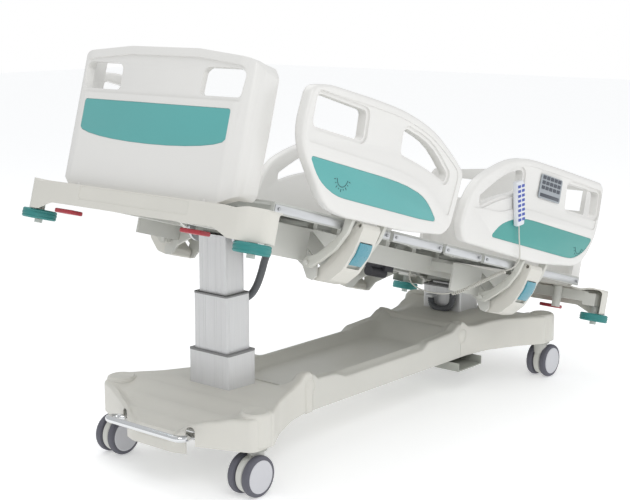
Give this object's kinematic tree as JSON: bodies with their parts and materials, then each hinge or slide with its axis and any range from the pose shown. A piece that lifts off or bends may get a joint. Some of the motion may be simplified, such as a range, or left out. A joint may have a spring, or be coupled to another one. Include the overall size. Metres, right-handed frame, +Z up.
{
  "type": "adjustable hospital bed",
  "caption": "Hospital bed on telescopic lifting columns, standing head-down, with folding side rails, lift-off end boards and a hinged mattress deck.",
  "frame": {"origin": "on the floor, under the middle of the bed's bounding box", "axes": "+X from the foot end to the head end, +Y to the lying patient's right, +Z up"},
  "size_m": [2.287, 1.065, 1.3804],
  "materials": {
    "base_shell": "satin",
    "board_shell": "satin",
    "insert_teal": "satin",
    "bumper_teal": "matt",
    "column_alu": "brushed",
    "frame_paint": "satin",
    "chrome_bar": "polished",
    "rod_steel": "ground",
    "caster_grey": "satin",
    "wheel": "matt",
    "deck_board": "matt",
    "handle_blue": "gloss",
    "keypad": "matt",
    "handset_shell": "satin",
    "arm_paint": "satin"
  },
  "bodies": {
    "base": {"base_frame": "frame_paint", "foot_base_cover": "base_shell", "centre_tray": "base_shell", "head_base_cover": "base_shell", "foot_column_outer": "column_alu", "head_column_outer": "column_alu", "head_column_hose": "wheel"},
    "foot_stage_two": {"foot_column_middle": "column_alu"},
    "foot_stage_three": {"foot_column_inner": "column_alu"},
    "head_stage_two": {"head_column_middle": "column_alu"},
    "head_stage_three": {"head_column_inner": "column_alu"},
    "trunnion": {"trunnion_shaft": "rod_steel"},
    "frame": {"upper_frame": "frame_paint", "foot_end_cover": "base_shell", "head_end_cover": "base_shell", "seat_panel": "deck_board", "back_actuator": "frame_paint", "knee_actuator": "frame_paint", "control_box": "frame_paint"},
    "backrest": {"backrest_panel": "deck_board"},
    "back_rod": {"back_actuator_rod": "rod_steel"},
    "thigh": {"thigh_panel": "deck_board"},
    "calf": {"calf_panel": "deck_board"},
    "knee_rod": {"knee_actuator_rod": "rod_steel"},
    "brake_bar": {"brake_bar": "chrome_bar"},
    "footboard": {"footboard": "board_shell", "footboard_insert": "insert_teal"},
    "headboard": {"headboard": "board_shell", "headboard_insert": "insert_teal"},
    "left_foot_rail": {"left_foot_rail": "board_shell"},
    "left_foot_arms": {"left_foot_rail_side_arms": "arm_paint"},
    "left_foot_link": {"left_foot_rail_centre_arm": "board_shell"},
    "left_foot_handle": {"left_foot_rail_handle": "handle_blue"},
    "left_foot_bumper": {"left_foot_bumper": "bumper_teal"},
    "left_foot_fork": {"left_foot_caster_fork": "caster_grey"},
    "left_foot_wheels": {"left_foot_caster_wheels": "wheel"},
    "right_foot_rail": {"right_foot_rail": "board_shell"},
    "right_foot_arms": {"right_foot_rail_side_arms": "arm_paint"},
    "right_foot_link": {"right_foot_rail_centre_arm": "board_shell"},
    "right_foot_handle": {"right_foot_rail_handle": "handle_blue"},
    "right_foot_bumper": {"right_foot_bumper": "bumper_teal"},
    "right_foot_fork": {"right_foot_caster_fork": "caster_grey"},
    "right_foot_wheels": {"right_foot_caster_wheels": "wheel"},
    "left_head_rail": {"left_head_rail": "board_shell", "handset": "handset_shell", "handset_cord": "arm_paint", "membrane_panel": "keypad"},
    "left_head_arms": {"left_head_rail_side_arms": "arm_paint"},
    "left_head_link": {"left_head_rail_centre_arm": "board_shell"},
    "left_head_handle": {"left_head_rail_handle": "handle_blue"},
    "left_head_bumper": {"left_head_bumper": "bumper_teal"},
    "left_head_fork": {"left_head_caster_fork": "caster_grey"},
    "left_head_wheels": {"left_head_caster_wheels": "wheel"},
    "right_head_rail": {"right_head_rail": "board_shell"},
    "right_head_arms": {"right_head_rail_side_arms": "arm_paint"},
    "right_head_link": {"right_head_rail_centre_arm": "board_shell"},
    "right_head_handle": {"right_head_rail_handle": "handle_blue"},
    "right_head_bumper": {"right_head_bumper": "bumper_teal"},
    "right_head_fork": {"right_head_caster_fork": "caster_grey"},
    "right_head_wheels": {"right_head_caster_wheels": "wheel"}
  },
  "joints": [
    {"name": "foot_lift_lower", "type": "slide", "parent": "base", "child": "foot_stage_two", "axis": [0, 0, 1], "range_m": [-0.19028, 0]},
    {"name": "foot_lift_upper", "type": "slide", "parent": "foot_stage_two", "child": "foot_stage_three", "axis": [0, 0, 1], "range_m": [-0.19028, 0]},
    {"name": "foot_pivot_turn", "type": "hinge", "parent": "foot_stage_three", "child": "trunnion", "pos_m": [-0.72137, 0, 0.78256], "axis": [0, 1, 0], "range_deg": [-15.77, 0]},
    {"name": "frame_tilt", "type": "hinge", "parent": "trunnion", "child": "frame", "pos_m": [-0.72137, 0, 0.78256], "axis": [0, 1, 0], "range_deg": [-15.77, 0]},
    {"name": "head_lift_lower", "type": "slide", "parent": "base", "child": "head_stage_two", "axis": [0, 0, 1], "range_m": [0, 0.19028]},
    {"name": "head_lift_upper", "type": "slide", "parent": "head_stage_two", "child": "head_stage_three", "axis": [0, 0, 1], "range_m": [0, 0.19028]},
    {"name": "back_raise", "type": "hinge", "parent": "frame", "child": "backrest", "pos_m": [0.18081, 0, 0.60476], "axis": [0, -1, 0], "range_deg": [0, 70]},
    {"name": "back_rod_slide", "type": "slide", "parent": "frame", "child": "back_rod", "axis": [0.9624, 0, -0.2717], "range_m": [0, 0.08403]},
    {"name": "thigh_raise", "type": "hinge", "parent": "frame", "child": "thigh", "pos_m": [-0.06941, 0, 0.67539], "axis": [0, 1, 0], "range_deg": [0, 35]},
    {"name": "knee_rod_slide", "type": "slide", "parent": "frame", "child": "knee_rod", "axis": [-0.9624, 0, 0.2717], "range_m": [0, 0.04414]},
    {"name": "calf_fold", "type": "hinge", "parent": "thigh", "child": "calf", "pos_m": [-0.37256, 0, 0.76098], "axis": [0, 1, 0], "range_deg": [-52.54, 0]},
    {"name": "brake_bar_turn", "type": "hinge", "parent": "base", "child": "brake_bar", "pos_m": [-0.95637, 0, 0.172], "axis": [0, 1, 0], "range_deg": [-7, 7]},
    {"name": "footboard_lift", "type": "slide", "parent": "frame", "child": "footboard", "axis": [0.2717, 0, 0.9624], "range_m": [0, 0.12]},
    {"name": "headboard_lift", "type": "slide", "parent": "frame", "child": "headboard", "axis": [0.2717, 0, 0.9624], "range_m": [0, 0.12]},
    {"name": "left_foot_rail_swing", "type": "hinge", "parent": "frame", "child": "left_foot_arms", "pos_m": [-0.58247, -0.325, 0.67996], "axis": [0.9624, 0, -0.2717], "range_deg": [0, 104]},
    {"name": "left_foot_rail_level", "type": "hinge", "parent": "left_foot_arms", "child": "left_foot_rail", "pos_m": [-0.53357, -0.466, 0.85319], "axis": [0.9624, 0, -0.2717], "range_deg": [-104, 0]},
    {"name": "left_foot_link_swing", "type": "hinge", "parent": "frame", "child": "left_foot_link", "pos_m": [-0.59252, -0.333, 0.64435], "axis": [0.9624, 0, -0.2717], "range_deg": [0, 104]},
    {"name": "left_foot_handle_pull", "type": "hinge", "parent": "left_foot_link", "child": "left_foot_handle", "pos_m": [-0.55938, -0.471, 0.76176], "axis": [-0.9624, 0, 0.2717], "range_deg": [0, 14], "stiffness_Nm_per_rad": 1, "springref_deg": -17.19},
    {"name": "left_foot_bumper_spin", "type": "hinge", "parent": "frame", "child": "left_foot_bumper", "pos_m": [-1.08637, -0.476, 0.82741], "axis": [0.2717, 0, 0.9624], "continuous": true},
    {"name": "left_foot_caster_swivel", "type": "hinge", "parent": "base", "child": "left_foot_fork", "pos_m": [-0.89437, -0.309, 0.12], "axis": [0, 0, 1], "continuous": true},
    {"name": "left_foot_wheel_roll", "type": "hinge", "parent": "left_foot_fork", "child": "left_foot_wheels", "pos_m": [-0.91837, -0.309, 0.0664], "axis": [0, 1, 0], "continuous": true},
    {"name": "right_foot_rail_swing", "type": "hinge", "parent": "frame", "child": "right_foot_arms", "pos_m": [-0.58247, 0.325, 0.67996], "axis": [-0.9624, 0, 0.2717], "range_deg": [0, 104]},
    {"name": "right_foot_rail_level", "type": "hinge", "parent": "right_foot_arms", "child": "right_foot_rail", "pos_m": [-0.53357, 0.466, 0.85319], "axis": [-0.9624, 0, 0.2717], "range_deg": [-104, 0]},
    {"name": "right_foot_link_swing", "type": "hinge", "parent": "frame", "child": "right_foot_link", "pos_m": [-0.59252, 0.333, 0.64435], "axis": [-0.9624, 0, 0.2717], "range_deg": [0, 104]},
    {"name": "right_foot_handle_pull", "type": "hinge", "parent": "right_foot_link", "child": "right_foot_handle", "pos_m": [-0.55938, 0.471, 0.76176], "axis": [0.9624, 0, -0.2717], "range_deg": [0, 14], "stiffness_Nm_per_rad": 1, "springref_deg": -17.19},
    {"name": "right_foot_bumper_spin", "type": "hinge", "parent": "frame", "child": "right_foot_bumper", "pos_m": [-1.08637, 0.476, 0.82741], "axis": [0.2717, 0, 0.9624], "continuous": true},
    {"name": "right_foot_caster_swivel", "type": "hinge", "parent": "base", "child": "right_foot_fork", "pos_m": [-0.89437, 0.309, 0.12], "axis": [0, 0, 1], "continuous": true},
    {"name": "right_foot_wheel_roll", "type": "hinge", "parent": "right_foot_fork", "child": "right_foot_wheels", "pos_m": [-0.91837, 0.309, 0.0664], "axis": [0, 1, 0], "continuous": true},
    {"name": "left_head_rail_swing", "type": "hinge", "parent": "frame", "child": "left_head_arms", "pos_m": [0.43766, -0.325, 0.39197], "axis": [0.9624, 0, -0.2717], "range_deg": [0, 104], "deforming": ["handset_cord"]},
    {"name": "left_head_rail_level", "type": "hinge", "parent": "left_head_arms", "child": "left_head_rail", "pos_m": [0.48656, -0.466, 0.5652], "axis": [0.9624, 0, -0.2717], "range_deg": [-104, 0]},
    {"name": "left_head_link_swing", "type": "hinge", "parent": "frame", "child": "left_head_link", "pos_m": [0.4276, -0.333, 0.35636], "axis": [0.9624, 0, -0.2717], "range_deg": [0, 104]},
    {"name": "left_head_handle_pull", "type": "hinge", "parent": "left_head_link", "child": "left_head_handle", "pos_m": [0.46075, -0.471, 0.47377], "axis": [-0.9624, 0, 0.2717], "range_deg": [0, 14], "stiffness_Nm_per_rad": 1, "springref_deg": -17.19},
    {"name": "left_head_bumper_spin", "type": "hinge", "parent": "frame", "child": "left_head_bumper", "pos_m": [0.96351, -0.476, 0.24871], "axis": [0.2717, 0, 0.9624], "continuous": true},
    {"name": "left_head_caster_swivel", "type": "hinge", "parent": "base", "child": "left_head_fork", "pos_m": [0.83363, -0.309, 0.12], "axis": [0, 0, 1], "continuous": true},
    {"name": "left_head_wheel_roll", "type": "hinge", "parent": "left_head_fork", "child": "left_head_wheels", "pos_m": [0.85763, -0.309, 0.0664], "axis": [0, 1, 0], "continuous": true},
    {"name": "right_head_rail_swing", "type": "hinge", "parent": "frame", "child": "right_head_arms", "pos_m": [0.43766, 0.325, 0.39197], "axis": [-0.9624, 0, 0.2717], "range_deg": [0, 104]},
    {"name": "right_head_rail_level", "type": "hinge", "parent": "right_head_arms", "child": "right_head_rail", "pos_m": [0.48656, 0.466, 0.5652], "axis": [-0.9624, 0, 0.2717], "range_deg": [-104, 0]},
    {"name": "right_head_link_swing", "type": "hinge", "parent": "frame", "child": "right_head_link", "pos_m": [0.4276, 0.333, 0.35636], "axis": [-0.9624, 0, 0.2717], "range_deg": [0, 104]},
    {"name": "right_head_handle_pull", "type": "hinge", "parent": "right_head_link", "child": "right_head_handle", "pos_m": [0.46075, 0.471, 0.47377], "axis": [0.9624, 0, -0.2717], "range_deg": [0, 14], "stiffness_Nm_per_rad": 1, "springref_deg": -17.19},
    {"name": "right_head_bumper_spin", "type": "hinge", "parent": "frame", "child": "right_head_bumper", "pos_m": [0.96351, 0.476, 0.24871], "axis": [0.2717, 0, 0.9624], "continuous": true},
    {"name": "right_head_caster_swivel", "type": "hinge", "parent": "base", "child": "right_head_fork", "pos_m": [0.83363, 0.309, 0.12], "axis": [0, 0, 1], "continuous": true},
    {"name": "right_head_wheel_roll", "type": "hinge", "parent": "right_head_fork", "child": "right_head_wheels", "pos_m": [0.85763, 0.309, 0.0664], "axis": [0, 1, 0], "continuous": true}
  ],
  "couplings": [
    {"joint": "foot_lift_upper", "follows": "foot_lift_lower", "ratio": 1},
    {"joint": "foot_pivot_turn", "follows": "foot_lift_lower", "rad_per_m": 1.446},
    {"joint": "head_lift_lower", "follows": "frame_tilt", "m_per_rad": -0.69154},
    {"joint": "head_lift_upper", "follows": "frame_tilt", "m_per_rad": -0.69154},
    {"joint": "back_rod_slide", "follows": "back_raise", "m_per_rad": 0.068775},
    {"joint": "knee_rod_slide", "follows": "thigh_raise", "m_per_rad": 0.072261},
    {"joint": "calf_fold", "follows": "thigh_raise", "ratio": -1.5011},
    {"joint": "left_foot_rail_level", "follows": "left_foot_rail_swing", "ratio": -1},
    {"joint": "left_foot_link_swing", "follows": "left_foot_rail_swing", "ratio": 1},
    {"joint": "right_foot_rail_level", "follows": "right_foot_rail_swing", "ratio": -1},
    {"joint": "right_foot_link_swing", "follows": "right_foot_rail_swing", "ratio": 1},
    {"joint": "left_head_rail_level", "follows": "left_head_rail_swing", "ratio": -1},
    {"joint": "left_head_link_swing", "follows": "left_head_rail_swing", "ratio": 1},
    {"joint": "right_head_rail_level", "follows": "right_head_rail_swing", "ratio": -1},
    {"joint": "right_head_link_swing", "follows": "right_head_rail_swing", "ratio": 1}
  ]
}
